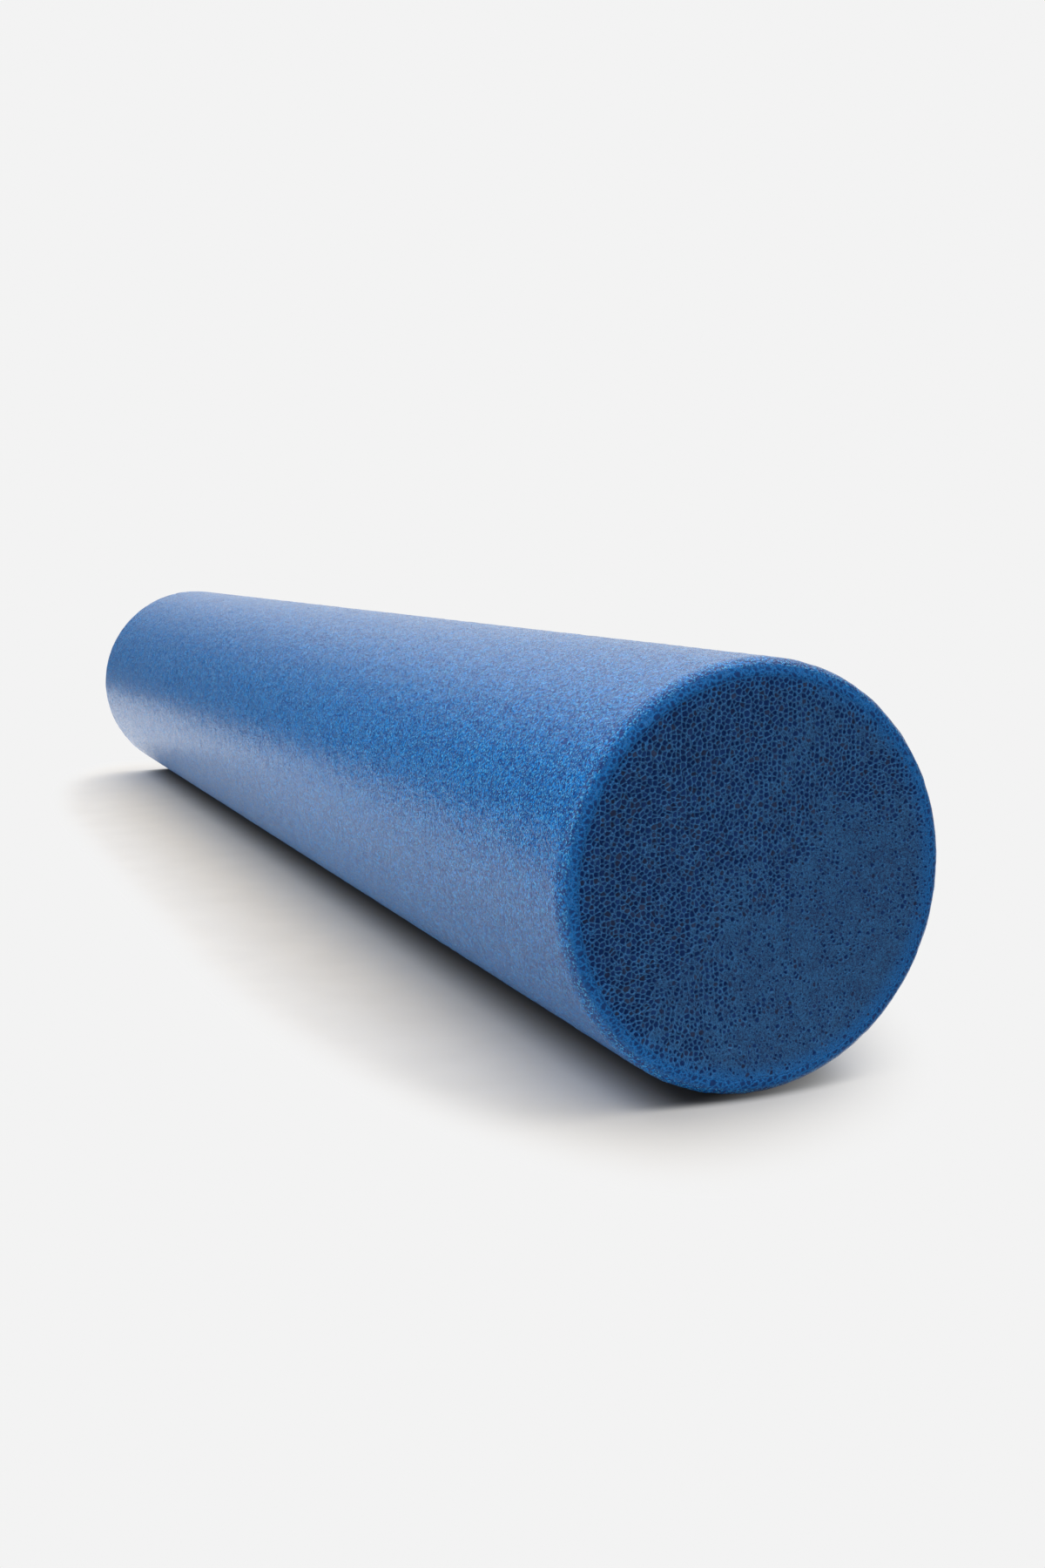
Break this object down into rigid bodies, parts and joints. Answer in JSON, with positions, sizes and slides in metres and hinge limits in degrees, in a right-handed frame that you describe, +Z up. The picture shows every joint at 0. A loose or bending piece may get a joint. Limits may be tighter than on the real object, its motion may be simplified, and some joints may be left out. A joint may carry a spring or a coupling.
{
  "type": "foam roller",
  "caption": "Long solid round foam roller with rounded end edges, lying on its side, for massage, balance and floor exercise.",
  "frame": {"origin": "on the floor line under the roller, half way along its length", "axes": "+Y along the roller's centre line, which lies one radius above the origin; +Z up; +X across the roller, the way it rolls"},
  "size_m": [0.15, 0.9, 0.15],
  "materials": {
    "core_foam": "matte",
    "skin_foam": "satin"
  },
  "bodies": {
    "root": {"foam_core": "core_foam", "outer_skin": "skin_foam"}
  },
  "joints": []
}
